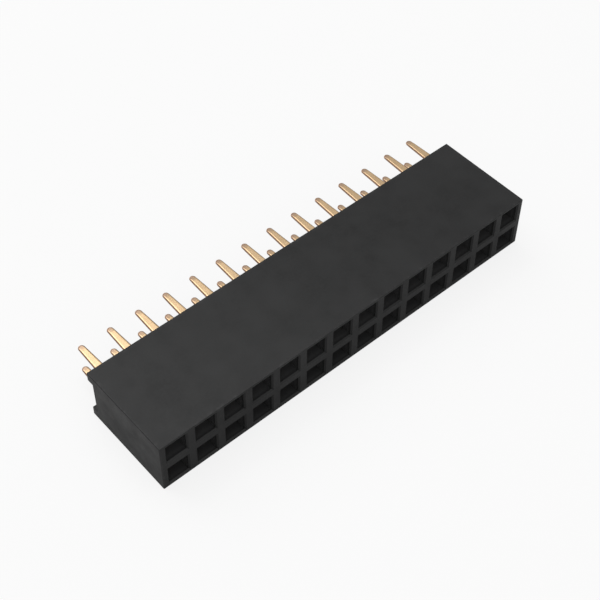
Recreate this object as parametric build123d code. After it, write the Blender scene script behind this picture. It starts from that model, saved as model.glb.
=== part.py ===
from build123d import *
from math import atan2, cos, sin
import os

# Two row socket header with straight through hole tails, lying on one long side.
# Millimetres. X runs along the rows, -Y is the side that the plug enters,
# +Y is the board side with the tails, +Z is up across the two rows.
# The origin is the centre of the footprint, on the surface the header lies on.

# Grid of the contacts
PITCH = 2.54
COLUMNS = 14
ROWS = 2

# Moulded housing
END_ALLOWANCE = 0.30
BODY_DEPTH = 8.50
BODY_HEIGHT = 4.90
EDGE_RADIUS = 0.08
RAIL_THICKNESS = 0.78
RAIL_HEIGHT = 0.65
FLOOR_THICKNESS = 1.10
WELL_WIDTH = 1.70
WELL_HEIGHT = 1.74
LEAD_IN = 0.12

# Contact sheet and its flat lower part
SHEET = 0.25
TAIL_LENGTH = 3.10
TAIL_ROOT_WIDTH = 0.84
TAIL_TIP_WIDTH = 0.54
COINING_LENGTH = 0.75
COINING_DEPTH = 0.04
SHOULDER_WIDTH = 1.36
SHOULDER_RISE = 0.22
BARB_START = 0.30
BARB_LENGTH = 0.45
BARB_REACH = 0.07

# Folded box and spring arms of the contact
JOG_OFFSET = 0.45
JOG_RUN = 0.62
BOX_WIDTH = 1.30
BOX_LENGTH = 1.50
BOX_BEND_RADIUS = 0.30
ARM_WIDTH = 0.80
THROAT_GAP = 0.46
THROAT_RADIUS = 0.55
TIP_GAP = 0.98
TIP_DEPTH = 1.75
THROAT_TO_TIP = 0.85

# Clearance of the sheet in its slot in the housing floor
SLOT_CLEARANCE = 0.02

# Places worked out from the sizes above
body_length = COLUMNS * PITCH + END_ALLOWANCE
overall_depth = BODY_DEPTH + TAIL_LENGTH
mating_y = -overall_depth / 2
board_y = mating_y + BODY_DEPTH
channel_y = board_y - RAIL_HEIGHT
well_floor_y = channel_y - FLOOR_THICKNESS
tail_tip_y = board_y + TAIL_LENGTH
middle_z = BODY_HEIGHT / 2
column_places = [(i - (COLUMNS - 1) / 2) * PITCH for i in range(COLUMNS)]
row_places = [middle_z + (ROWS - 1) / 2 * PITCH - r * PITCH for r in range(ROWS)]
row_names = "abcdefgh"


def box_between(x0, x1, y0, y1, z0, z1):
    """A block given by its two corners."""
    return Pos((x0 + x1) / 2, (y0 + y1) / 2, (z0 + z1) / 2) * Box(x1 - x0, y1 - y0, z1 - z0)


def rounded_block():
    """The outer block of the housing, every edge softened as a mould leaves it."""
    block = box_between(-body_length / 2, body_length / 2, mating_y, board_y, 0, BODY_HEIGHT)
    return fillet(block.edges(), EDGE_RADIUS)


def board_channel():
    """The channel between the two standoff rails, open at both ends."""
    half = body_length / 2 + EDGE_RADIUS
    low, high = RAIL_THICKNESS, BODY_HEIGHT - RAIL_THICKNESS
    return box_between(-half, half, channel_y, board_y + EDGE_RADIUS, low, high)


def contact_cavity(x, z):
    """One cavity: a square well, a lead-in round its mouth and the slot in its floor."""
    half_w, half_h = WELL_WIDTH / 2, WELL_HEIGHT / 2
    well = box_between(x - half_w, x + half_w, mating_y, well_floor_y, z - half_h, z + half_h)
    mouth_plane = Plane(origin=(x, mating_y, z), x_dir=(1, 0, 0), z_dir=(0, 1, 0))
    mouth = mouth_plane * Rectangle(WELL_WIDTH + 2 * LEAD_IN, WELL_HEIGHT + 2 * LEAD_IN)
    throat = mouth_plane.offset(LEAD_IN) * Rectangle(WELL_WIDTH, WELL_HEIGHT)
    lead_in = loft([mouth, throat])
    slot_w = SHOULDER_WIDTH / 2 + BARB_REACH
    slot_h = SHEET / 2 + SLOT_CLEARANCE
    slot = box_between(x - slot_w, x + slot_w, well_floor_y, channel_y, z - slot_h, z + slot_h)
    return [well, lead_in, slot]


def housing():
    """The moulded housing with all of its cavities."""
    cuts = [board_channel()]
    for z in row_places:
        for x in column_places:
            cuts += contact_cavity(x, z)
    return rounded_block() - cuts


def lower_outline():
    """Outline of the flat lower part: tapered tail, shoulder and its two barbs, seen along Z."""
    tip_r = TAIL_TIP_WIDTH / 2
    root, shoulder = TAIL_ROOT_WIDTH / 2, SHOULDER_WIDTH / 2
    top_y = well_floor_y - SHOULDER_RISE
    barb_y = channel_y - BARB_START
    tail = Polyline((root, channel_y), (tip_r, tail_tip_y - tip_r))
    tip = ThreePointArc((tip_r, tail_tip_y - tip_r), (0, tail_tip_y), (-tip_r, tail_tip_y - tip_r))
    rest = Polyline((-tip_r, tail_tip_y - tip_r), (-root, channel_y), (-shoulder, channel_y),
                    (-shoulder, top_y), (shoulder, top_y), (shoulder, channel_y), (root, channel_y))
    outline = make_face([tail, tip, rest])
    for side in (-1, 1):
        edge = side * shoulder
        point = side * (shoulder + BARB_REACH)
        barb = Polyline((edge, barb_y), (point, barb_y), (edge, barb_y - BARB_LENGTH), close=True)
        outline += make_face(barb)
    return outline


def lower_part():
    """Tail, shoulder and barbs, cut from the sheet, with the tail's tip coined thinner."""
    flat = extrude(lower_outline(), SHEET / 2, both=True)
    for side in (-1, 1):
        face = side * SHEET / 2
        coined = side * (SHEET / 2 - COINING_DEPTH)
        wedge = Polyline((tail_tip_y - COINING_LENGTH, face), (tail_tip_y, face), (tail_tip_y, coined), close=True)
        flat -= extrude(Plane.YZ * make_face(wedge), TAIL_ROOT_WIDTH / 2, both=True)
    return flat


def sheet_band(points):
    """A bent strip of the sheet seen on edge, its corners mitred, along the middle line given."""
    turns = [atan2(v1 - v0, u1 - u0) for (u0, v0), (u1, v1) in zip(points, points[1:])]
    before, after = [turns[0]] + turns, turns + [turns[-1]]
    sides = ([], [])
    for (u, v), a, b in zip(points, before, after):
        reach = SHEET / 2 / cos((b - a) / 2)
        for line, side in zip(sides, (-1, 1)):
            line.append((u - side * reach * sin((a + b) / 2), v + side * reach * cos((a + b) / 2)))
    return make_face(Polyline(*sides[0], *reversed(sides[1]), close=True))


def jog():
    """The double bend that sets the box back from the tail's plane, as a profile seen along X."""
    start_y = well_floor_y - SHOULDER_RISE
    end_y = start_y - JOG_RUN
    strip = sheet_band([(start_y + SHEET, 0), (start_y, 0), (end_y, -JOG_OFFSET), (end_y - SHEET, -JOG_OFFSET)])
    return extrude(Plane.YZ * strip, BOX_WIDTH / 2 - BOX_BEND_RADIUS, both=True)


def folded_box(start_y, end_y):
    """The U shaped box: back wall and two side walls folded up from its edges."""
    low = -JOG_OFFSET - SHEET / 2
    high = ARM_WIDTH / 2
    outer = Pos(0, (low + high) / 2) * Rectangle(BOX_WIDTH, high - low)
    outer = fillet(outer.vertices().group_by(Axis.Y)[0], BOX_BEND_RADIUS)
    inner_low = low + SHEET
    inner = Pos(0, (inner_low + high) / 2) * Rectangle(BOX_WIDTH - 2 * SHEET, high - inner_low)
    section = Plane(origin=(0, end_y, 0), x_dir=(1, 0, 0), z_dir=(0, -1, 0)) * (outer - inner)
    return extrude(section, end_y - start_y)


def spring_arm(start_y):
    """One spring arm seen along Z: it leans in to the throat, then flares to guide the pin."""
    tip_y = mating_y + TIP_DEPTH
    throat_y = tip_y + THROAT_TO_TIP
    root_x = BOX_WIDTH / 2 - SHEET / 2
    throat_x = THROAT_GAP / 2 + SHEET / 2
    tip_x = TIP_GAP / 2 + SHEET / 2
    strip = sheet_band([(root_x, start_y + SHEET), (root_x, start_y), (throat_x, throat_y), (tip_x, tip_y)])
    bend = strip.vertices().sort_by_distance((throat_x, throat_y))[:2]
    return extrude(fillet(bend, THROAT_RADIUS), ARM_WIDTH / 2, both=True)


def contact():
    """One contact, a single stamped and folded piece, about the middle of its cavity."""
    box_high = well_floor_y - SHOULDER_RISE - JOG_RUN
    box_low = box_high - BOX_LENGTH
    arm = spring_arm(box_low)
    return lower_part() + jog() + folded_box(box_low, box_high) + arm + mirror(arm, Plane.YZ)


def main():
    os.makedirs("parts", exist_ok=True)
    export_step(housing(), "parts/housing.step")
    one = contact()
    for row, z in enumerate(row_places):
        for column, x in enumerate(column_places):
            name = f"contact_{row_names[row]}{column + 1:02d}"
            export_step(Pos(x, 0, z) * one, f"parts/{name}.step")


main()
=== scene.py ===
import math

import bpy
import numpy as np
from mathutils import Matrix, Vector


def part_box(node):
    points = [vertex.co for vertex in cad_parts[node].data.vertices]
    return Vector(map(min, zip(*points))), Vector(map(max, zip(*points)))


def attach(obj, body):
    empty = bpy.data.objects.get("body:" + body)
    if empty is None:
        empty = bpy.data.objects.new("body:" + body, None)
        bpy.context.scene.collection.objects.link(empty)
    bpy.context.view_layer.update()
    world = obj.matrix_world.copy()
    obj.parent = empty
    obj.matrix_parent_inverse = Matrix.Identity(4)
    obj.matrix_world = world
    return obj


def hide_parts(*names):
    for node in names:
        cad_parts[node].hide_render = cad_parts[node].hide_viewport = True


bl_info = {
    "name": "Socket header look",
    "version": (1, 0, 0),
    "blender": (4, 5, 0),
    "location": "View3D > Sidebar > Socket header",
    "description": "Formed contacts, moulded plastic and a studio stage for a two row socket header",
    "category": "Object",
}

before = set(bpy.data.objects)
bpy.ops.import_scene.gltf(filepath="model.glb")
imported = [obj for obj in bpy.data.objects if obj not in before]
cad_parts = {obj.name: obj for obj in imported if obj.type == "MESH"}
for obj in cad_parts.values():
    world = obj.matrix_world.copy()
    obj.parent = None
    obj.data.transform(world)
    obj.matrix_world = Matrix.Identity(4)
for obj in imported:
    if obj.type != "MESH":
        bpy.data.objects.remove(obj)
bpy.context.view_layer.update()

MM = 0.001

HOUSING_NODE = "housing"
CONTACT_NODES = sorted(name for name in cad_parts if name.startswith("contact_"))

# Places of the fixed frame in millimetres. The contact's own places are about the cavity's middle.
RAIL_HEIGHT = 0.65
FLOOR_THICKNESS = 1.10
TAIL_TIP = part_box(CONTACT_NODES[0])[1].y / MM
ARM_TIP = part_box(CONTACT_NODES[0])[0].y / MM
MATING_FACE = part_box(HOUSING_NODE)[0].y / MM
RAIL_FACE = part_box(HOUSING_NODE)[1].y / MM
CHANNEL_FLOOR = RAIL_FACE - RAIL_HEIGHT
WELL_FLOOR = CHANNEL_FLOOR - FLOOR_THICKNESS
PITCH = (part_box("contact_a02")[0].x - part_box("contact_a01")[0].x) / MM

# Formed contact: shoulder, barbs, double bend and box, in millimetres
SHOULDER_HALF = 0.68
SHOULDER_RISE = 0.22
BARB_HALF = 0.75
BARB_START = 0.30
BARB_END = 0.75
JOG_HALF = 0.35
JOG_DROP = 0.45
JOG_RUN = 0.62
BOX_LENGTH = 1.50
BOX_END_SHARE = 0.90
WALL_RISE = 0.85
BEND_RADIUS = 0.175
EDGE_BREAK = 0.03
STEP = 0.001
COIN_DEPTH = 0.055
COIN_ROUNDING = 0.03
TIP_PAINTED_RIM = 0.16

# Formed contact: spring arms, in millimetres
ARM_HALF = 0.40
ARM_THINNING = 0.003
ARM_ROOT_X = 0.525
THROAT_X = 0.355
FLARE_X = 0.615
FLARE_LENGTH = 0.73
ARM_BEND_RADIUS = 0.50
ARM_TIP_INSET = 0.125
ARM_TIP_BREAK = 0.05

# Patterns of the plastic: sizes and distances in millimetres, tones as multiples of its colour
CLOUD_SIZE = 3.6
CLOUD_TONES = (0.62, 1.34)
PATCH_SIZE, PATCH_SHARE, PATCH_TONE = 0.9, 0.5, 1.20
SPECK_SIZE, SPECK_SHARE, SPECK_TONE = 0.22, 0.35, 1.25
GLOSS_SIZE = 1.1
GLOSS_SPREAD = (-0.05, 0.06)
# Fade of the painted light in the cavities and recesses, by depth below the housing's outer faces
CAVITY_PAINTED_LIGHT_FADE = (0.10, 0.40)
RUB_SIZE, RUB_LOW = 0.55, -1.1
RUB_FADE = (0.06, 0.30)
# Width of the pale band painted along every rounded edge as a highlight
ROUNDED_EDGE_HIGHLIGHT_FADE = (0.03, 0.09)
WORN_AND_HIGHLIGHT_TONE = 3.0
PLASTIC_SPECULAR = 0.27

# Patterns of the plating: sizes, heights and distances in millimetres, fades on the cut_edge value
PLATING_CLOUD_SIZE = 0.9
PLATING_TONES = (0.93, 1.05)
PRESSED_FADE = (0.60, 0.02)
TARNISH_SIZE = 0.16
TARNISH_RANGE = (-0.10, 0.12)
# Start of the dark edge colour: painted dark reflection on the plated rolled edges, bare alloy on
# the cut side
BARE_AND_DARK_REFLECTION_FADE = (0.18, 0.55)
BARE_ROUGHENING = 0.22
SHEAR_FADE = (0.60, 0.95)
SHEAR_TONE = 2.8
ROLLING_STRETCH = (9.0, 0.7, 9.0)
ROLLING_SIZE, ROLLING_HEIGHT = 0.6, 0.00028
PIT_SIZE, PIT_HEIGHT = 0.05, 0.00010

# Lamps: name, azimuth and elevation in degrees, side in metres and the setting of its power
LAMP_DISTANCE = 0.40
LAMPS = (
    ("key", 190.0, 46.0, 0.30, "key_power"),
    ("top", 180.0, 84.0, 0.37, "top_power"),
    ("front", -18.0, 25.0, 0.50, "front_power"),
)
FLOOR_HALF = 2.0
FLOOR_CLOUD_SIZE = 60.0
SENSOR_WIDTH = 36.0


class HeaderPlasticSettings(bpy.types.PropertyGroup):
    """Finish of the moulded housing."""

    colour: bpy.props.FloatVectorProperty(
        name="Plastic colour", description="Black of the moulded plastic", subtype="COLOR",
        size=3, min=0.0, max=1.0, default=(0.0148, 0.0149, 0.0151))
    roughness: bpy.props.FloatProperty(
        name="Roughness", description="Roughness of the mould's texture", subtype="FACTOR",
        min=0.0, max=1.0, default=0.38)
    grain_size: bpy.props.FloatProperty(
        name="Grain size", description="Width of one grain of the mould's texture",
        unit="LENGTH", min=0.00001, max=0.001, precision=6, default=0.00006)
    grain_height: bpy.props.FloatProperty(
        name="Grain height", description="Height of the mould's texture",
        unit="LENGTH", min=0.0, max=0.0001, precision=7, default=0.0000016)
    sink_depth: bpy.props.FloatProperty(
        name="Sink depth", description="Depth of the faint sink marks over the cavities",
        unit="LENGTH", min=0.0, max=0.0001, precision=7, default=0.000004)
    # Painted light: the cavity walls are lifted above the plastic's colour in place of light falling
    # into the cavities
    cavity_painted_light_tone: bpy.props.FloatProperty(
        name="Cavity tone", description="Tone of the cavity walls as a multiple of the colour",
        min=0.0, max=4.0, default=3.6)
    # Sets the real rubbed wear on the edges and, at half strength, the pale band painted along every
    # rounded edge as a highlight
    edge_wear_and_highlight: bpy.props.FloatProperty(
        name="Edge wear", description="How pale the edges are where they have been rubbed",
        subtype="FACTOR", min=0.0, max=1.0, default=0.6)


class HeaderContactSettings(bpy.types.PropertyGroup):
    """Sizes and finish of the formed contacts."""

    sheet: bpy.props.FloatProperty(
        name="Sheet", description="Thickness of the strip that the contact is stamped from",
        unit="LENGTH", min=0.0001, max=0.001, precision=5, default=0.00025)
    tail_root: bpy.props.FloatProperty(
        name="Tail root width", description="Width of the tail where it leaves the housing",
        unit="LENGTH", min=0.0002, max=0.002, precision=5, default=0.00084)
    tail_tip: bpy.props.FloatProperty(
        name="Tail tip width", description="Width of the tail before its rounded tip",
        unit="LENGTH", min=0.0001, max=0.002, precision=5, default=0.00054)
    coining: bpy.props.FloatProperty(
        name="Coining length", description="Length of the tail's tip that is pressed thinner",
        unit="LENGTH", min=0.0, max=0.003, precision=5, default=0.00060)
    edge_roll: bpy.props.FloatProperty(
        name="Edge roll", description="Radius that the stamping tool leaves along the edges",
        unit="LENGTH", min=0.00001, max=0.00012, precision=6, default=0.000115)
    colour: bpy.props.FloatVectorProperty(
        name="Plating colour", description="Thin gold over the copper alloy", subtype="COLOR",
        size=3, min=0.0, max=1.0, default=(0.75, 0.535, 0.315))
    tip_colour: bpy.props.FloatVectorProperty(
        name="Tip colour", description="Thinner, redder plating over the pressed tip of the tail",
        subtype="COLOR", size=3, min=0.0, max=1.0, default=(0.58, 0.40, 0.31))
    # Dark colour of the edges: bare alloy on the cut side, and a painted dark reflection on the
    # plated rolled edges and round the tail's tip
    edge_and_dark_reflection_colour: bpy.props.FloatVectorProperty(
        name="Cut edge colour", description="Bare, darker alloy along the sheared edges",
        subtype="COLOR", size=3, min=0.0, max=1.0, default=(0.215, 0.138, 0.094))
    roughness: bpy.props.FloatProperty(
        name="Plating roughness", description="Roughness of the plated faces", subtype="FACTOR",
        min=0.0, max=1.0, default=0.27)


class HeaderStageSettings(bpy.types.PropertyGroup):
    """Floor, lamps and the photograph's camera."""

    floor_colour: bpy.props.FloatVectorProperty(
        name="Floor colour", description="Plain pale floor as the camera sees it",
        subtype="COLOR", size=3, min=0.0, max=1.0, default=(0.90, 0.90, 0.90))
    floor_bounce: bpy.props.FloatProperty(
        name="Floor bounce", description="Share of the floor's colour in what it reflects",
        subtype="FACTOR", min=0.0, max=1.0, default=0.5)
    floor_lift: bpy.props.FloatProperty(
        name="Floor lift", description="How far the floor is lifted to plain white for the camera",
        subtype="FACTOR", min=0.0, max=1.0, default=0.82)
    backdrop: bpy.props.FloatProperty(
        name="Backdrop", description="Brightness that the camera sees beyond the floor",
        min=0.0, max=1.0, default=0.965)
    floor_reflected: bpy.props.FloatProperty(
        name="Reflected floor", description="Share of the floor's lift seen in reflections",
        subtype="FACTOR", min=0.0, max=1.0, default=0.05)
    reflected: bpy.props.FloatProperty(
        name="Reflected backdrop", description="Share of the backdrop seen in reflections",
        subtype="FACTOR", min=0.0, max=1.0, default=0.35)
    ambient: bpy.props.FloatProperty(
        name="Ambient", description="Strength of the even light from all round",
        min=0.0, max=5.0, default=0.32)
    key_power: bpy.props.FloatProperty(
        name="Key power", description="Power of the large soft lamp behind the header",
        unit="POWER", min=0.0, max=50.0, default=0.46)
    top_power: bpy.props.FloatProperty(
        name="Top power", description="Power of the large soft lamp overhead",
        unit="POWER", min=0.0, max=50.0, default=0.61)
    front_power: bpy.props.FloatProperty(
        name="Front power", description="Power of the wide soft lamp on the mating side",
        unit="POWER", min=0.0, max=50.0, default=0.48)
    azimuth: bpy.props.FloatProperty(
        name="Camera azimuth", description="Where the camera stands round the header",
        subtype="ANGLE", unit="ROTATION", default=math.radians(-41.3736))
    elevation: bpy.props.FloatProperty(
        name="Camera elevation", description="Height of the camera above the horizon",
        subtype="ANGLE", unit="ROTATION", default=math.radians(47.5869))
    roll: bpy.props.FloatProperty(
        name="Camera roll", description="Turn of the camera about its line of sight",
        subtype="ANGLE", unit="ROTATION", default=math.radians(0.4761))
    distance: bpy.props.FloatProperty(
        name="Camera distance", description="Distance of the camera along its line of sight",
        unit="LENGTH", precision=6, default=0.101289)
    offset_right: bpy.props.FloatProperty(
        name="Offset right", description="How far right of the lens axis the header lies",
        unit="LENGTH", precision=6, default=0.0012916)
    offset_up: bpy.props.FloatProperty(
        name="Offset up", description="How far above the lens axis the header lies",
        unit="LENGTH", precision=6, default=-0.0063549)
    lens: bpy.props.FloatProperty(
        name="Lens", description="Focal length on the camera's sensor in millimetres",
        unit="CAMERA", precision=4, default=78.610422)
    shift_y: bpy.props.FloatProperty(
        name="Lens shift", description="Shift of the picture down the sensor as a share of it",
        precision=3, default=-0.1)


def smooth_step(t):
    """0 below 0, 1 above 1, and 3t^2 - 2t^3 between."""
    t = np.clip(t, 0.0, 1.0)
    return t * t * (3 - 2 * t)


def faces_outward(points, faces):
    """Six times the signed volume is the sum of a . (b x c) over the triangles. If it is negative
    the faces are turned round."""
    a, b, c, d = (points[faces[:, i]] for i in range(4))
    volume = np.einsum("ij,ij->", a, np.cross(b, c)) + np.einsum("ij,ij->", a, np.cross(c, d))
    return faces if volume > 0 else faces[:, ::-1]


def tube_faces(stations, around, pairs):
    """Quads of a closed tube on a grid of stations by around points. pairs holds the points of the
    near side and those of the far side of the loop; each end is closed with quads between them."""
    i, j = np.meshgrid(np.arange(stations - 1), np.arange(around), indexing="ij")
    nxt = (j + 1) % around
    walls = np.stack([i * around + j, i * around + nxt,
                      (i + 1) * around + nxt, (i + 1) * around + j], -1)
    near, far = pairs
    cap = np.stack([near[:-1], near[1:], far[1:], far[:-1]], -1)
    last = (stations - 1) * around
    return np.concatenate([walls.reshape(-1, 4), cap[:, ::-1], cap + last])


def strip_section(half_width, half_thick, corner, shares, corner_steps=5):
    """Loop round a strip's section at each station. Each corner is a quarter circle of the corner
    radius about (half_width - corner, half_thick - corner), and the two broad sides have points at
    the given shares of their half width. Returns across and through (stations by around), how far
    each point has turned from the broad side (0) to the cut edge (1), and the pairs that close an
    end."""
    steps, inner = corner_steps, len(shares)
    quarter = np.linspace(0.0, math.pi / 2, steps)
    flat = np.full(inner, math.pi / 2)
    angle = np.concatenate([quarter, flat, quarter[::-1], quarter, flat, quarter[::-1]])
    sign_a = np.repeat([1, 0, -1, 0, 1], [steps, inner, 2 * steps, inner, steps])
    sign_b = np.repeat([1, -1], 2 * steps + inner)
    share = np.concatenate([np.zeros(steps), shares[::-1], np.zeros(2 * steps), shares,
                            np.zeros(steps)])
    w, h, r = (np.asarray(v, float)[:, None] for v in (half_width, half_thick, corner))
    r = np.minimum(r, 0.98 * np.minimum(w, h))
    across = np.where(sign_a == 0, share * (w - r), sign_a * (w - r + r * np.cos(angle)))
    through = sign_b * (h - r + r * np.sin(angle))
    around = len(angle)
    pairs = np.arange(around // 2), np.arange(around - 1, around // 2 - 1, -1)
    return across, through, np.broadcast_to(np.cos(angle), across.shape), pairs


def fold(across, through, flat, radius, amount):
    """Bends the strip's section up at both sides. A point at distance a from the middle stays flat
    up to flat, then follows an arc of the radius through 90 degrees times amount, then runs
    straight; through is laid off along the section's own normal. Returns sideways and upwards."""
    side, a = np.sign(across), np.abs(across)
    full = (math.pi / 2 * amount)[:, None]
    theta = np.clip((a - flat) / radius, 0.0, full)
    rest = np.maximum(a - flat - radius * full, 0.0)
    bent = np.minimum(a, flat) + radius * np.sin(theta) + rest * np.cos(theta)
    x = np.where(full > 0, bent, a)
    z = radius * (1 - np.cos(theta)) + rest * np.sin(theta)
    return side * (x - np.sin(theta) * through), z + np.cos(theta) * through


def rounded_path(corners, radius, steps):
    """Line through the corners with each inner corner replaced by an arc of the given radius. The
    arc starts radius * tan(turn / 2) before the corner and its points lie at equal turns about its
    centre."""
    corners = np.asarray(corners, float)
    out = [corners[:1]]
    for before, here, after in zip(corners, corners[1:], corners[2:]):
        u, v = here - before, after - here
        u, v = u / np.linalg.norm(u), v / np.linalg.norm(v)
        turn = math.atan2(u[0] * v[1] - u[1] * v[0], float(u @ v))
        normal = np.sign(turn) * np.array([-u[1], u[0]])
        centre = here - u * radius * math.tan(abs(turn) / 2) + normal * radius
        angle = np.linspace(0, turn, steps)
        arm = -normal * radius
        out.append(centre + np.stack([np.cos(angle) * arm[0] - np.sin(angle) * arm[1],
                                      np.sin(angle) * arm[0] + np.cos(angle) * arm[1]], 1))
    out.append(corners[-1:])
    return np.concatenate(out)


def stamped_outline(tip_half, root_half, top, box_high, box_low):
    """Corners of the stamped strip from the tail's tip to the box's open end, as places along Y
    and half widths. Square steps have two corners one small step apart."""
    tip, channel = TAIL_TIP - tip_half, CHANNEL_FLOOR
    box_half = JOG_HALF + BEND_RADIUS * math.pi / 2 + WALL_RISE - BEND_RADIUS
    tail = [(tip, tip_half), (channel, root_half)]
    shoulder = [
        (channel - STEP, SHOULDER_HALF - EDGE_BREAK), (channel - EDGE_BREAK, SHOULDER_HALF),
        (channel - BARB_START, SHOULDER_HALF), (channel - BARB_START - STEP, BARB_HALF),
        (channel - BARB_END, SHOULDER_HALF), (top + EDGE_BREAK, SHOULDER_HALF),
        (top, SHOULDER_HALF - EDGE_BREAK), (top - STEP, JOG_HALF)]
    box = [
        (box_high, JOG_HALF), (box_high - STEP, box_half - EDGE_BREAK),
        (box_high - EDGE_BREAK, box_half), (box_low + EDGE_BREAK, box_half),
        (box_low, box_half - EDGE_BREAK)]
    return (np.array(part) for part in (tail, shoulder, box))


def spine(settings):
    """Tail, shoulder, double bend and U shaped box as one strip, in millimetres about the cavity's
    middle. The strip's middle line runs along Y from the tail's tip and drops by a smooth step at
    the double bend. Its half width follows the stamped outline, its half thickness the coined
    tip, and the section is folded by 90 degrees in the box."""
    sheet, roll = settings.sheet / MM / 2, settings.edge_roll / MM
    root, end, coining = (settings.tail_root / MM / 2, settings.tail_tip / MM / 2,
                          settings.coining / MM)
    top = WELL_FLOOR - SHOULDER_RISE
    box_high, box_low = top - JOG_RUN, top - JOG_RUN - BOX_LENGTH
    tail, shoulder, box = stamped_outline(end, root, top, box_high, box_low)
    outline = np.concatenate([tail, shoulder, box])

    cap_start = TAIL_TIP - end
    y = np.concatenate([
        cap_start + end * np.cos(np.linspace(0.06, math.pi / 2, 12)),
        np.linspace(cap_start, TAIL_TIP - coining - 0.3, 10)[1:],
        np.linspace(TAIL_TIP - coining - 0.5, CHANNEL_FLOOR, 9),
        shoulder[:, 0], np.linspace(top - 0.02, box_high + 0.02, 13),
        box[:3, 0], np.linspace(box_high - 0.2, box_low + 0.2, 5), box[3:, 0]])
    half = np.interp(-y, -outline[:, 0], outline[:, 1])
    in_cap = y > cap_start
    round_end = np.sqrt(np.clip(1 - ((y - cap_start) / end) ** 2, 0, 1))
    half = np.where(in_cap, end * round_end, half)
    coined = smooth_step((y - (TAIL_TIP - coining)) / coining)
    thick = (sheet - COIN_DEPTH * coined) * np.where(in_cap, np.clip(round_end, 0.03, 1) ** 0.25, 1)
    thick[-1] *= BOX_END_SHARE
    corner = roll + COIN_ROUNDING * coined

    inner = np.array([0.269, 0.32, 0.376, 0.43, 0.481, 0.72])
    shares = np.concatenate([-inner[::-1], [0.0], inner])
    across, through, turned, pairs = strip_section(half, thick, corner, shares)
    folded = (y < box_high - STEP / 2).astype(float)
    sideways, upwards = fold(across, through, JOG_HALF, BEND_RADIUS, folded)

    t = (top - y) / JOG_RUN
    drop = (-JOG_DROP * smooth_step(t))[:, None]
    slope = np.where((t > 0) & (t < 1), JOG_DROP / JOG_RUN * 6 * t * (1 - t), 0.0)
    tilt = np.arctan(slope)[:, None]
    points = np.stack([sideways, y[:, None] - np.sin(tilt) * upwards,
                       drop + np.cos(tilt) * upwards], -1)
    # Painted dark reflection: a rim of the plated broad face round the rounded tip gets cut edge
    # values, so it takes the dark edge colour
    past = (y - cap_start)[:, None]
    painted_rim = smooth_step((np.hypot(past, across) - end + TIP_PAINTED_RIM) / TIP_PAINTED_RIM)
    cut_edge = np.maximum(turned, np.where(past > 0, painted_rim, 0.0))
    return points.reshape(-1, 3), tube_faces(len(y), across.shape[1], pairs), cut_edge.ravel()


def spring_arm(settings, side):
    """One spring arm in millimetres. Its middle line leans in to the throat and flares again on an
    arc, and the strip's section is laid off square to it: through in the plane of the line, across
    along Z. The last station is a thinner and narrower copy that breaks the tip's edges."""
    box_low = WELL_FLOOR - SHOULDER_RISE - JOG_RUN - BOX_LENGTH
    tip = ARM_TIP + ARM_TIP_INSET
    line = rounded_path([(ARM_ROOT_X, box_low + 0.12), (ARM_ROOT_X, box_low - 0.05),
                         (THROAT_X, tip + FLARE_LENGTH), (FLARE_X, tip)], ARM_BEND_RADIUS, 9)
    along = np.gradient(line, axis=0)
    along /= np.linalg.norm(along, axis=1, keepdims=True)
    normal = np.stack([-along[:, 1], along[:, 0]], 1)
    line = np.concatenate([line, line[-1:] + along[-1:] * ARM_TIP_BREAK])
    normal = np.concatenate([normal, normal[-1:]])
    at_tip = np.arange(len(line)) == len(line) - 1
    thick = settings.sheet / MM / 2 - ARM_THINNING - 0.9 * ARM_TIP_BREAK * at_tip
    wide = ARM_HALF - ARM_TIP_BREAK * at_tip
    roll = np.full(len(line), settings.edge_roll / MM)
    shares = np.array([-0.6, -0.2, 0.2, 0.6])
    across, through, turned, pairs = strip_section(wide, thick, roll, shares)
    flat = line[:, None, :] + normal[:, None, :] * through[..., None]
    points = np.stack([side * flat[..., 0], flat[..., 1], across], -1)
    return points.reshape(-1, 3), tube_faces(len(line), across.shape[1], pairs), turned.ravel()


def formed_contact(settings):
    """The strip and its two arms as one set of points, quads and cut edge values, in millimetres."""
    start, points, faces, edges = 0, [], [], []
    for p, f, e in (spine(settings), spring_arm(settings, 1), spring_arm(settings, -1)):
        faces.append(faces_outward(p, f) + start)
        points.append(p)
        edges.append(e)
        start += len(p)
    return np.concatenate(points), np.concatenate(faces), np.concatenate(edges)


def mesh_piece(name, points, faces, edge_values, material):
    """An object at the origin whose place is in its mesh, with smooth faces and a cut_edge value
    at each point."""
    mesh = bpy.data.meshes.new(name)
    mesh.from_pydata(points, [], faces)
    mesh.polygons.foreach_set("use_smooth", np.ones(len(faces), bool))
    cut_edge = mesh.attributes.new("cut_edge", "FLOAT", "POINT")
    cut_edge.data.foreach_set("value", edge_values.astype(np.float32))
    mesh.materials.append(material)
    mesh.validate()
    mesh.update()
    piece = bpy.data.objects.new(name, mesh)
    bpy.context.scene.collection.objects.link(piece)
    return piece


def set_inputs(tree, made, inputs):
    """Sets a node's inputs, by a link where the value is a socket and as a constant elsewhere."""
    for key, value in inputs.items():
        if isinstance(value, bpy.types.NodeSocket):
            tree.links.new(value, made.inputs[key])
        else:
            made.inputs[key].default_value = value


def node(tree, kind, inputs=None, **values):
    """A shader node with its properties and its inputs set."""
    made = tree.nodes.new(kind)
    for key, value in values.items():
        setattr(made, key, value)
    set_inputs(tree, made, inputs or {})
    return made


def math_node(tree, operation, first, second=0.0, clamp=False):
    """The output of a math node."""
    return node(tree, "ShaderNodeMath", {0: first, 1: second}, operation=operation,
                use_clamp=clamp).outputs[0]


def ramp(tree, value, low, high, to_low=0.0, to_high=1.0):
    """The value mapped straight from low..high to to_low..to_high, and held beyond them."""
    return node(tree, "ShaderNodeMapRange", {"Value": value, "From Min": low, "From Max": high,
                                             "To Min": to_low, "To Max": to_high}).outputs[0]


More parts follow.
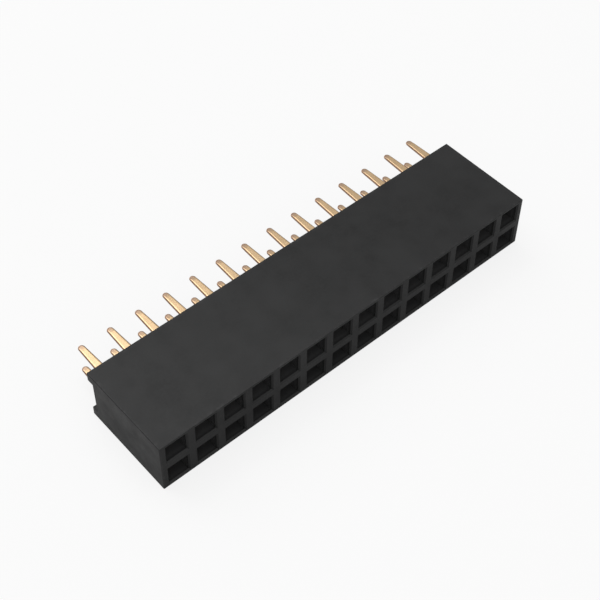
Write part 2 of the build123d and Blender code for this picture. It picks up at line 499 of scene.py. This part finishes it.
def mix_colour(tree, share, first, second):
    """A mix of two colours by a value."""
    made = node(tree, "ShaderNodeMix", data_type="RGBA")
    set_inputs(tree, made, {0: share, 6: first, 7: second})
    return made.outputs[2]


def scaled(colour, factor=1.0):
    """A colour times a factor, with full alpha."""
    return tuple(c * factor for c in colour) + (1.0,)


def new_group(name, inputs, outputs):
    """An empty shader node group with the sockets given, and its input and output sockets."""
    group = bpy.data.node_groups.new(name, "ShaderNodeTree")
    for socket, kind, default in inputs:
        made = group.interface.new_socket(name=socket, in_out="INPUT", socket_type=kind)
        if default is not None:
            made.default_value = default
    for socket, kind in outputs:
        group.interface.new_socket(name=socket, in_out="OUTPUT", socket_type=kind)
    into, out = group.nodes.new("NodeGroupInput"), group.nodes.new("NodeGroupOutput")
    return group, into.outputs, out.inputs


def mottle_group():
    """Slow cloudy change: noise of the given size, stretched to run from Low to High."""
    group = bpy.data.node_groups.get("Mottle")
    if group:
        return group
    group, into, out = new_group(
        "Mottle", [("Place", "NodeSocketVector", None), ("Size", "NodeSocketFloat", 1.0),
                   ("Low", "NodeSocketFloat", 0.0), ("High", "NodeSocketFloat", 1.0)],
        [("Value", "NodeSocketFloat")])
    scale = math_node(group, "DIVIDE", 1.0, into["Size"])
    noise = node(group, "ShaderNodeTexNoise", {"Vector": into["Place"], "Scale": scale,
                                               "Detail": 2.0, "Roughness": 0.5})
    group.links.new(ramp(group, noise.outputs[0], 0.3, 0.7, into["Low"], into["High"]),
                    out["Value"])
    return group


def grain_group():
    """Fine relief in millimetres: noise of the given size with finer noise on it, times the
    height."""
    group = bpy.data.node_groups.get("Fine grain")
    if group:
        return group
    group, into, out = new_group(
        "Fine grain", [("Place", "NodeSocketVector", None), ("Size", "NodeSocketFloat", 0.1),
                       ("Height", "NodeSocketFloat", 0.001)],
        [("Relief", "NodeSocketFloat")])
    scale = math_node(group, "DIVIDE", 1.0, into["Size"])
    noise = node(group, "ShaderNodeTexNoise", {"Vector": into["Place"], "Scale": scale,
                                               "Detail": 3.0, "Roughness": 0.6})
    centred = math_node(group, "SUBTRACT", noise.outputs[0], 0.5)
    group.links.new(math_node(group, "MULTIPLY", centred, into["Height"]), out["Relief"])
    return group


def block_group():
    """Distances inside an upright block given by its low and high corners. With the six distances
    to its sides reduced to the nearer one along each axis, Depth is the smallest of the three, and
    Edge the middle one, which on the outside is the distance to the nearest edge."""
    group = bpy.data.node_groups.get("Block distances")
    if group:
        return group
    group, into, out = new_group(
        "Block distances", [("Place", "NodeSocketVector", None), ("Low", "NodeSocketVector", None),
                            ("High", "NodeSocketVector", None)],
        [("Depth", "NodeSocketFloat"), ("Edge", "NodeSocketFloat")])
    above = node(group, "ShaderNodeVectorMath", {0: into["Place"], 1: into["Low"]},
                 operation="SUBTRACT")
    below = node(group, "ShaderNodeVectorMath", {0: into["High"], 1: into["Place"]},
                 operation="SUBTRACT")
    near = node(group, "ShaderNodeVectorMath", {0: above.outputs[0], 1: below.outputs[0]},
                operation="MINIMUM")
    x, y, z = node(group, "ShaderNodeSeparateXYZ", {0: near.outputs[0]}).outputs
    smallest = math_node(group, "MINIMUM", math_node(group, "MINIMUM", x, y), z)
    largest = math_node(group, "MAXIMUM", math_node(group, "MAXIMUM", x, y), z)
    total = math_node(group, "ADD", math_node(group, "ADD", x, y), z)
    group.links.new(smallest, out["Depth"])
    middle = math_node(group, "SUBTRACT", math_node(group, "SUBTRACT", total, smallest), largest)
    group.links.new(middle, out["Edge"])
    return group


def use_group(tree, group, **inputs):
    """The outputs of a node group whose inputs are set by name."""
    made = tree.nodes.new("ShaderNodeGroup")
    made.node_tree = group
    set_inputs(tree, made, inputs)
    return made.outputs


def mottle(tree, place, size, low=0.0, high=1.0):
    """Cloudy noise of the given size between two values."""
    return use_group(tree, mottle_group(), Place=place, Size=size, Low=low, High=high)[0]


def grain(tree, place, size, height):
    """Fine relief of the given size and height."""
    return use_group(tree, grain_group(), Place=place, Size=size, Height=height)[0]


def millimetres(tree, stretch=(1.0, 1.0, 1.0)):
    """Object coordinates in millimetres, stretched where a pattern has a direction."""
    place = node(tree, "ShaderNodeTexCoord").outputs["Object"]
    scale = tuple(s / MM for s in stretch)
    return node(tree, "ShaderNodeMapping", {"Vector": place, "Scale": scale}).outputs[0]


def empty_material(name):
    """A node material with a Principled BSDF that feeds its output."""
    material = bpy.data.materials.new(name)
    material.use_nodes = True
    tree = material.node_tree
    tree.nodes.clear()
    shader = tree.nodes.new("ShaderNodeBsdfPrincipled")
    output = tree.nodes.new("ShaderNodeOutputMaterial")
    tree.links.new(shader.outputs[0], output.inputs["Surface"])
    return material, tree, shader, output


def finish_shader(tree, shader, colour, roughness, relief):
    """Links colour, roughness and a relief in millimetres to a Principled BSDF."""
    bump = node(tree, "ShaderNodeBump", {"Height": relief, "Distance": MM, "Strength": 1.0})
    set_inputs(tree, shader, {"Base Color": colour, "Roughness": roughness,
                              "Normal": bump.outputs[0]})


def moulded_plastic(settings):
    """Black moulded plastic: cloudy tone and gloss, cavity walls a little lighter as painted light,
    edges rubbed pale in places with a pale band painted along every rounded edge as a highlight,
    the fine texture of the mould and faint sink marks that repeat with the cavities along X."""
    material, tree, shader, _ = empty_material("moulded_black_plastic")
    place = millimetres(tree)
    colour = settings.colour
    dark, light = (scaled(colour, tone) for tone in CLOUD_TONES)
    tone = mix_colour(tree, mottle(tree, place, CLOUD_SIZE), dark, light)
    tone = mix_colour(tree, mottle(tree, place, PATCH_SIZE, 0.0, PATCH_SHARE), tone,
                      scaled(colour, PATCH_TONE))
    tone = mix_colour(tree, mottle(tree, place, SPECK_SIZE, 0.0, SPECK_SHARE), tone,
                      scaled(colour, SPECK_TONE))

    low, high = (tuple(corner / MM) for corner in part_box(HOUSING_NODE))
    depth, edge = use_group(tree, block_group(), Place=place, Low=low, High=high)
    # Painted light: faces deep in the cavities and recesses take a lighter tone in place of the
    # light that falls into them
    tone = mix_colour(tree, ramp(tree, depth, *CAVITY_PAINTED_LIGHT_FADE), tone,
                      scaled(colour, settings.cavity_painted_light_tone))
    rubbed = ramp(tree, mottle(tree, place, RUB_SIZE, RUB_LOW, 1.0), 0.0, 1.0)
    near_edge = ramp(tree, edge, *RUB_FADE, settings.edge_wear_and_highlight, 0.0)
    rubbed = math_node(tree, "MULTIPLY", rubbed, near_edge)
    # Painted highlight: a pale band along every rounded edge at half the wear's strength, apart from
    # the real rubs
    rounded = ramp(tree, edge, *ROUNDED_EDGE_HIGHLIGHT_FADE, settings.edge_wear_and_highlight / 2, 0.0)
    worn_and_highlight = math_node(tree, "MAXIMUM", rubbed, rounded)
    tone = mix_colour(tree, worn_and_highlight, tone, scaled(colour, WORN_AND_HIGHLIGHT_TONE))

    smooth, rough = (settings.roughness + spread for spread in GLOSS_SPREAD)
    rough = mottle(tree, place, GLOSS_SIZE, smooth, rough)
    texture = grain(tree, place, settings.grain_size / MM, settings.grain_height / MM)
    along = node(tree, "ShaderNodeSeparateXYZ", {0: place}).outputs[0]
    wave = math_node(tree, "COSINE", math_node(tree, "MULTIPLY", along, 2 * math.pi / PITCH))
    sink = math_node(tree, "MULTIPLY", wave, settings.sink_depth / MM / 2)
    finish_shader(tree, shader, tone, rough, math_node(tree, "ADD", texture, sink))
    shader.inputs["Specular IOR Level"].default_value = PLASTIC_SPECULAR
    return material


def plated_metal(settings):
    """Gold plated copper alloy: rolling lines along the tail, cloudy plating that is redder at the
    pressed tip, and duller bare metal on the sheared edges, where the points carry a cut_edge
    value. The dark colour begins early on the plated rolled edges and round the tail's tip, where it
    is a painted dark reflection. The side of the sheet is lighter again than that painted dark line
    along its edge."""
    material, tree, shader, _ = empty_material("gold_plated_alloy")
    place = millimetres(tree)
    edge = node(tree, "ShaderNodeAttribute", attribute_name="cut_edge").outputs["Fac"]
    dark, light = (scaled(settings.colour, tone) for tone in PLATING_TONES)
    plated = mix_colour(tree, mottle(tree, place, PLATING_CLOUD_SIZE), dark, light)
    along = node(tree, "ShaderNodeSeparateXYZ", {0: place}).outputs[1]
    pressed = ramp(tree, along, *(TAIL_TIP - length for length in PRESSED_FADE))
    plated = mix_colour(tree, pressed, plated, scaled(settings.tip_colour))
    tarnish = mottle(tree, place, TARNISH_SIZE, *TARNISH_RANGE)
    # Painted dark reflection: the plated rolled edges and the rim round the tail's tip take the dark
    # edge colour; the cut side is bare alloy
    bare = math_node(tree, "ADD", ramp(tree, edge, *BARE_AND_DARK_REFLECTION_FADE), tarnish, clamp=True)
    sheared = mix_colour(tree, ramp(tree, edge, *SHEAR_FADE), scaled(settings.edge_and_dark_reflection_colour),
                         scaled(settings.edge_and_dark_reflection_colour, SHEAR_TONE))
    colour = mix_colour(tree, bare, plated, sheared)
    lines = grain(tree, millimetres(tree, ROLLING_STRETCH), ROLLING_SIZE, ROLLING_HEIGHT)
    pits = grain(tree, place, PIT_SIZE, PIT_HEIGHT)
    rough = ramp(tree, bare, 0.0, 1.0, settings.roughness, settings.roughness + BARE_ROUGHENING)
    finish_shader(tree, shader, colour, rough, math_node(tree, "ADD", lines, pits))
    shader.inputs["Metallic"].default_value = 1.0
    return material


def background_rays(tree, reflected):
    """1 on rays from the camera, the reflected share on rays off glossy faces and through clear
    ones, and 0 on the rest."""
    path = node(tree, "ShaderNodeLightPath").outputs
    bounced = math_node(tree, "MAXIMUM", path["Is Glossy Ray"], path["Is Transmission Ray"])
    bounced = math_node(tree, "MULTIPLY", bounced, reflected)
    return math_node(tree, "MAXIMUM", path["Is Camera Ray"], bounced)


def pale_floor(settings):
    """Pale floor that keeps the header's shadow. It is lifted to the photograph's white where the
    camera, or a reflection in the header, looks at it."""
    material, tree, shader, output = empty_material("pale_floor")
    tone = mix_colour(tree, mottle(tree, millimetres(tree), FLOOR_CLOUD_SIZE),
                      scaled(settings.floor_colour, 0.995), scaled(settings.floor_colour))
    seen = background_rays(tree, settings.floor_reflected)
    tone = mix_colour(tree, seen, scaled(settings.floor_colour, settings.floor_bounce), tone)
    set_inputs(tree, shader, {"Base Color": tone, "Roughness": 0.9, "Specular IOR Level": 0.1})
    white = node(tree, "ShaderNodeEmission", {"Color": (1.0, 1.0, 1.0, 1.0), "Strength": 1.0})
    share = math_node(tree, "MULTIPLY", seen, settings.floor_lift)
    mixed = node(tree, "ShaderNodeMixShader", {0: share, 1: shader.outputs[0],
                                               2: white.outputs[0]})
    tree.links.new(mixed.outputs[0], output.inputs["Surface"])
    return material


def studio_world(settings):
    """Even light from all round, with the backdrop's brightness where the camera, or a reflection
    in the header, looks past the floor."""
    world = bpy.data.worlds.new("studio")
    world.use_nodes = True
    tree = world.node_tree
    tree.nodes.clear()
    white = (1.0, 1.0, 1.0, 1.0)
    ambient = node(tree, "ShaderNodeBackground", {"Color": white, "Strength": settings.ambient})
    seen = node(tree, "ShaderNodeBackground", {"Color": white, "Strength": settings.backdrop})
    mixed = node(tree, "ShaderNodeMixShader", {0: background_rays(tree, settings.reflected),
                                               1: ambient.outputs[0], 2: seen.outputs[0]})
    output = tree.nodes.new("ShaderNodeOutputWorld")
    tree.links.new(mixed.outputs[0], output.inputs["Surface"])
    return world


def toward(azimuth, elevation):
    """Unit vector from the header to something that stands round it. At azimuth 0 it stands on the
    mating side, -Y, and at 90 degrees on the +X side."""
    return Vector((math.sin(azimuth) * math.cos(elevation),
                   -math.cos(azimuth) * math.cos(elevation), math.sin(elevation)))


def soft_lamp(name, azimuth, elevation, side, power):
    """A square area lamp that stands round the header, aimed at its middle."""
    away = toward(math.radians(azimuth), math.radians(elevation))
    data = bpy.data.lights.new(name, "AREA")
    data.shape, data.size, data.energy = "SQUARE", side, power
    lamp = bpy.data.objects.new(name, data)
    lamp.location = away * LAMP_DISTANCE
    lamp.rotation_mode = "QUATERNION"
    lamp.rotation_quaternion = (-away).to_track_quat("-Z", "Y")
    bpy.context.scene.collection.objects.link(lamp)


def photo_camera(settings):
    """The photograph's camera. Forward is its line of sight, right is forward crossed with up, and
    both are rolled about it. The camera stands so that the middle of the header's footprint lies
    at the offsets along right and up and the distance along forward."""
    forward = -toward(settings.azimuth, settings.elevation)
    right = forward.cross(Vector((0, 0, 1))).normalized()
    up = right.cross(forward)
    cos_roll, sin_roll = math.cos(settings.roll), math.sin(settings.roll)
    right, up = cos_roll * right + sin_roll * up, cos_roll * up - sin_roll * right
    middle = Vector((0.0, (MATING_FACE + RAIL_FACE) / 2 * MM, 0.0))
    place = (middle - settings.offset_right * right - settings.offset_up * up
             - settings.distance * forward)
    data = bpy.data.cameras.new("photo_camera")
    data.sensor_width, data.lens, data.shift_y = SENSOR_WIDTH, settings.lens, settings.shift_y
    data.clip_start, data.clip_end = 0.001, 20.0
    camera = bpy.data.objects.new("photo_camera", data)
    turn = Matrix((right, up, -forward)).transposed()
    camera.matrix_world = Matrix.Translation(place) @ turn.to_4x4()
    bpy.context.scene.collection.objects.link(camera)
    bpy.context.scene.camera = camera


class HEADER_OT_finish_housing(bpy.types.Operator):
    """Gives the moulded housing its black plastic"""

    bl_idname = "socket_header.finish_housing"
    bl_label = "Finish housing"

    def execute(self, context):
        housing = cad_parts[HOUSING_NODE]
        housing.data.materials.clear()
        housing.data.materials.append(moulded_plastic(context.scene.header_plastic))
        return {"FINISHED"}


class HEADER_OT_form_contacts(bpy.types.Operator):
    """Builds the 28 stamped and folded contacts with rolled edges in place of the plain ones"""

    bl_idname = "socket_header.form_contacts"
    bl_label = "Form contacts"

    def execute(self, context):
        settings = context.scene.header_contacts
        points, faces, edges = formed_contact(settings)
        material = plated_metal(settings)
        for name in CONTACT_NODES:
            low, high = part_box(name)
            middle = np.array([(low.x + high.x) / 2, 0.0, high.z - ARM_HALF * MM])
            piece = mesh_piece("formed_" + name, points * MM + middle, faces, edges, material)
            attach(piece, "root")
            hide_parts(name)
        return {"FINISHED"}


class HEADER_OT_set_stage(bpy.types.Operator):
    """Sets the pale floor, the soft lamps and the photograph's camera"""

    bl_idname = "socket_header.set_stage"
    bl_label = "Set stage"

    def execute(self, context):
        settings = context.scene.header_stage
        corners = [(x * FLOOR_HALF, y * FLOOR_HALF, 0.0)
                   for x, y in ((-1, -1), (1, -1), (1, 1), (-1, 1))]
        mesh = bpy.data.meshes.new("floor")
        mesh.from_pydata(corners, [], [(0, 1, 2, 3)])
        mesh.materials.append(pale_floor(settings))
        floor = bpy.data.objects.new("floor", mesh)
        context.scene.collection.objects.link(floor)
        context.scene.world = studio_world(settings)
        for name, azimuth, elevation, side, power in LAMPS:
            soft_lamp(name, azimuth, elevation, side, getattr(settings, power))
        photo_camera(settings)
        context.scene.view_settings.view_transform = "Standard"
        return {"FINISHED"}


class HEADER_PT_look(bpy.types.Panel):
    """Lists the operators and the settings of the header's look"""

    bl_idname = "HEADER_PT_look"
    bl_label = "Socket header"
    bl_space_type = "VIEW_3D"
    bl_region_type = "UI"
    bl_category = "Socket header"

    def draw(self, context):
        for settings, operator in ((context.scene.header_plastic, HEADER_OT_finish_housing),
                                   (context.scene.header_contacts, HEADER_OT_form_contacts),
                                   (context.scene.header_stage, HEADER_OT_set_stage)):
            box = self.layout.box()
            for name in settings.__annotations__:
                box.prop(settings, name)
            box.operator(operator.bl_idname)


CLASSES = (HeaderPlasticSettings, HeaderContactSettings, HeaderStageSettings,
           HEADER_OT_finish_housing, HEADER_OT_form_contacts, HEADER_OT_set_stage, HEADER_PT_look)


def register():
    for cls in CLASSES:
        bpy.utils.register_class(cls)
    bpy.types.Scene.header_plastic = bpy.props.PointerProperty(type=HeaderPlasticSettings)
    bpy.types.Scene.header_contacts = bpy.props.PointerProperty(type=HeaderContactSettings)
    bpy.types.Scene.header_stage = bpy.props.PointerProperty(type=HeaderStageSettings)


def unregister():
    del bpy.types.Scene.header_stage
    del bpy.types.Scene.header_contacts
    del bpy.types.Scene.header_plastic
    for cls in reversed(CLASSES):
        bpy.utils.unregister_class(cls)


def main():
    register()
    bpy.ops.socket_header.finish_housing()
    bpy.ops.socket_header.form_contacts()
    bpy.ops.socket_header.set_stage()


if __name__ == "__main__":
    main()
